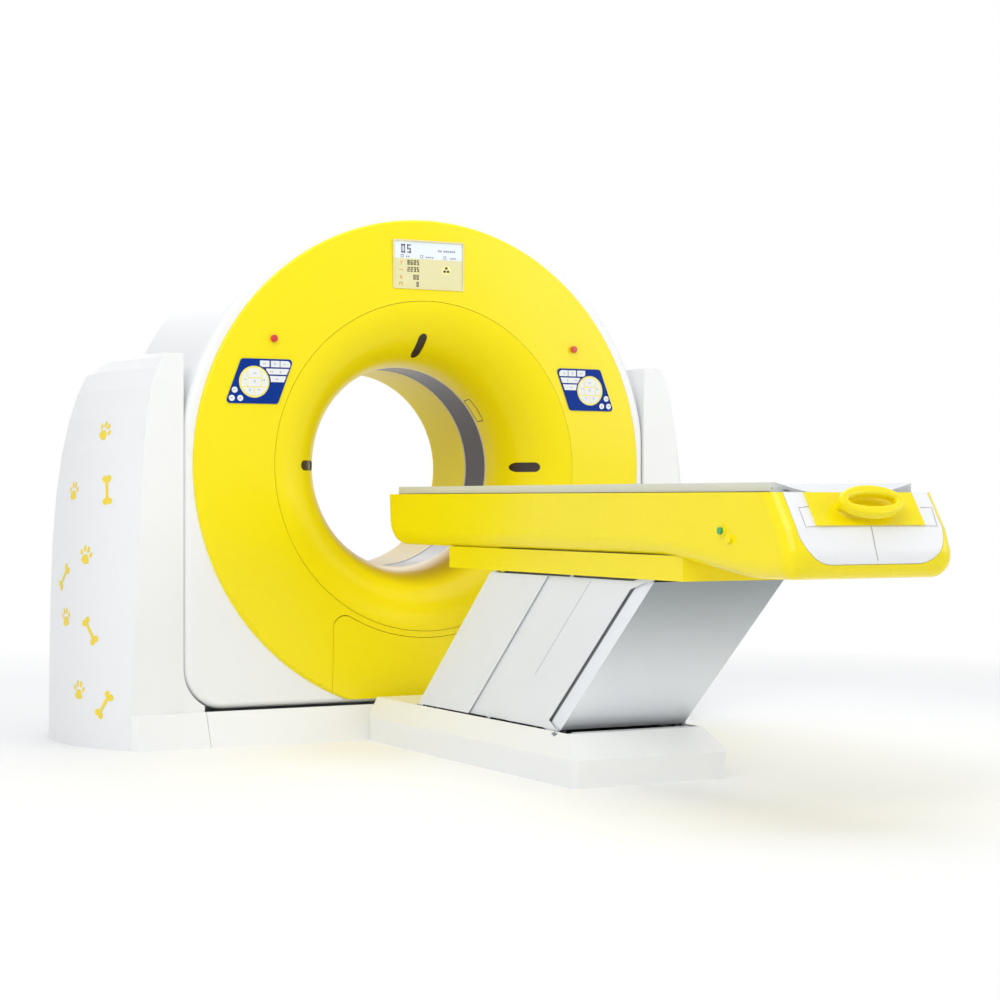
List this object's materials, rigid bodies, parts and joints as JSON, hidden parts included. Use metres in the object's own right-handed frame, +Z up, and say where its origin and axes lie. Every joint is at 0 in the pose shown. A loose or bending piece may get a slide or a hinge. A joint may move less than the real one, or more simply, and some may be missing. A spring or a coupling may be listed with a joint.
{
  "type": "ct scanner",
  "caption": "Tilting ring gantry for computed tomography between two side towers, with a sliding patient cradle on a leaning parallelogram lift table.",
  "frame": {"origin": "on the floor, straight below the isocentre, where the scan plane crosses the bore axis", "axes": "+X right as seen from the table, +Y along the bore from the table into the gantry, +Z up"},
  "size_m": [2.3796, 3.2155, 1.798],
  "materials": {
    "yellow_gelcoat": "satin",
    "white_gelcoat": "satin",
    "column_paint": "satin",
    "dark_window": "gloss",
    "pale_trim": "satin",
    "screen": "gloss",
    "grey_trim": "satin",
    "blue_overlay": "satin",
    "white_keys": "satin",
    "red_button": "gloss",
    "green_button": "gloss",
    "frame_paint": "satin",
    "machined_steel": "satin",
    "cast_aluminium": "satin",
    "inner_case": "satin",
    "belt_rubber": "matte"
  },
  "bodies": {
    "gantry_base": {"gantry_base_frame": "frame_paint", "tilt_bearings": "frame_paint", "tilt_gearmotor": "cast_aluminium", "left_side_cover": "white_gelcoat", "right_side_cover": "white_gelcoat", "front_plinth_cover": "white_gelcoat", "rear_plinth_cover": "white_gelcoat", "table_base_frame": "frame_paint", "table_base_cover": "white_gelcoat", "lower_arm_pins": "machined_steel"},
    "gantry_drum": {"ring_cover": "yellow_gelcoat", "bore_flare": "yellow_gelcoat", "front_panel": "white_gelcoat", "drum_shell": "white_gelcoat", "rear_panel": "white_gelcoat", "rear_throat": "yellow_gelcoat", "window_band": "dark_window", "window_rings": "pale_trim", "access_cover": "yellow_gelcoat", "laser_windows": "dark_window", "display_frame": "grey_trim", "display_screen": "screen", "control_panels": "blue_overlay", "keypads": "white_keys", "emergency_blocks": "grey_trim", "tilt_frame": "frame_paint", "bearing_outer_ring": "machined_steel", "rotor_motor": "cast_aluminium", "drive_belt": "belt_rubber"},
    "rotor": {"bearing_inner_ring": "machined_steel", "bearing_rollers": "machined_steel", "rotor_plate": "cast_aluminium", "xray_tube": "inner_case", "collimator": "cast_aluminium", "hv_generator": "inner_case", "detector_array": "inner_case", "slip_ring": "inner_case"},
    "motor_pulley_body": {"motor_pulley": "machined_steel"},
    "left_emergency_button_body": {"left_emergency_button": "red_button"},
    "right_emergency_button_body": {"right_emergency_button": "red_button"},
    "front_arm_body": {"front_lift_arm": "frame_paint"},
    "rear_arm_body": {"rear_lift_arm": "frame_paint"},
    "front_cover_body": {"column_front_cover": "column_paint"},
    "panel_a_body": {"column_side_panel_a": "column_paint"},
    "panel_b_body": {"column_side_panel_b": "column_paint"},
    "panel_c_body": {"column_side_panel_c": "column_paint"},
    "rear_cover_body": {"column_rear_cover": "column_paint"},
    "table": {"lift_head_frame": "frame_paint", "upper_arm_pins": "machined_steel", "subframe_cover": "yellow_gelcoat", "body_cover": "yellow_gelcoat", "end_cap": "white_gelcoat", "end_panel": "yellow_gelcoat", "end_handle": "yellow_gelcoat", "table_beam": "frame_paint", "cradle_drive": "cast_aluminium"},
    "cradle_body": {"cradle": "white_gelcoat"},
    "release_button_body": {"release_button": "green_button"},
    "actuator_body": {"lift_actuator": "cast_aluminium"},
    "actuator_rod_body": {"actuator_rod": "machined_steel"}
  },
  "joints": [
    {"name": "gantry_tilt", "type": "hinge", "parent": "gantry_base", "child": "gantry_drum", "pos_m": [0, 0, 0.918], "axis": [-1, 0, 0], "range_deg": [-30, 30]},
    {"name": "rotor_spin", "type": "hinge", "parent": "gantry_drum", "child": "rotor", "pos_m": [0, 0, 0.918], "axis": [0, 1, 0], "continuous": true},
    {"name": "pulley_spin", "type": "hinge", "parent": "gantry_drum", "child": "motor_pulley_body", "pos_m": [0.52857, 0, 0.47448], "axis": [0, 1, 0], "continuous": true},
    {"name": "left_emergency_press", "type": "slide", "parent": "gantry_drum", "child": "left_emergency_button_body", "axis": [0, 1, 0], "range_m": [0, 0.004], "stiffness_N_per_m": 600, "springref_m": -0.006},
    {"name": "right_emergency_press", "type": "slide", "parent": "gantry_drum", "child": "right_emergency_button_body", "axis": [0, 1, 0], "range_m": [0, 0.004], "stiffness_N_per_m": 600, "springref_m": -0.006},
    {"name": "table_lift", "type": "hinge", "parent": "gantry_base", "child": "front_arm_body", "pos_m": [0, -0.805, 0.14], "axis": [-1, 0, 0], "range_deg": [-24, 7]},
    {"name": "rear_arm_follow", "type": "hinge", "parent": "gantry_base", "child": "rear_arm_body", "pos_m": [0, -1.456, 0.14], "axis": [-1, 0, 0], "range_deg": [-24, 7]},
    {"name": "table_level", "type": "hinge", "parent": "front_arm_body", "child": "table", "pos_m": [0, -1.33877, 0.604], "axis": [-1, 0, 0], "range_deg": [-7, 24]},
    {"name": "panel_a_follow", "type": "hinge", "parent": "gantry_base", "child": "panel_a_body", "pos_m": [0, -0.72795, 0.14], "axis": [-1, 0, 0], "range_deg": [-24, 7]},
    {"name": "panel_b_follow", "type": "hinge", "parent": "gantry_base", "child": "panel_b_body", "pos_m": [0, -1.18595, 0.14], "axis": [-1, 0, 0], "range_deg": [-24, 7]},
    {"name": "panel_c_follow", "type": "hinge", "parent": "gantry_base", "child": "panel_c_body", "pos_m": [0, -1.60995, 0.14], "axis": [-1, 0, 0], "range_deg": [-24, 7]},
    {"name": "front_cover_follow", "type": "hinge", "parent": "gantry_base", "child": "front_cover_body", "pos_m": [0, -0.72795, 0.14], "axis": [-1, 0, 0], "range_deg": [-24, 7]},
    {"name": "rear_cover_follow", "type": "hinge", "parent": "gantry_base", "child": "rear_cover_body", "pos_m": [0, -1.60995, 0.14], "axis": [-1, 0, 0], "range_deg": [-24, 7]},
    {"name": "cradle_travel", "type": "slide", "parent": "table", "child": "cradle_body", "axis": [0, 1, 0], "range_m": [0, 1.5]},
    {"name": "release_press", "type": "slide", "parent": "table", "child": "release_button_body", "axis": [1, 0, 0], "range_m": [0, 0.003], "stiffness_N_per_m": 500, "springref_m": -0.005},
    {"name": "actuator_swing", "type": "hinge", "parent": "gantry_base", "child": "actuator_body", "pos_m": [0, -0.89, 0.05], "axis": [-1, 0, 0], "range_deg": [-21.85, 6.38]},
    {"name": "actuator_stroke", "type": "slide", "parent": "actuator_body", "child": "actuator_rod_body", "axis": [0, -0.4422, 0.8969], "range_m": [-0.05069, 0.01479]}
  ],
  "couplings": [
    {"joint": "pulley_spin", "follows": "rotor_spin", "ratio": 12.444},
    {"joint": "rear_arm_follow", "follows": "table_lift", "ratio": 1},
    {"joint": "table_level", "follows": "table_lift", "ratio": -1},
    {"joint": "panel_a_follow", "follows": "table_lift", "ratio": 1},
    {"joint": "panel_b_follow", "follows": "table_lift", "ratio": 1},
    {"joint": "panel_c_follow", "follows": "table_lift", "ratio": 1},
    {"joint": "front_cover_follow", "follows": "table_lift", "ratio": 1},
    {"joint": "rear_cover_follow", "follows": "table_lift", "ratio": 1},
    {"joint": "actuator_swing", "follows": "table_lift", "ratio": 0.91},
    {"joint": "actuator_stroke", "follows": "table_lift", "m_per_rad": 0.121}
  ]
}
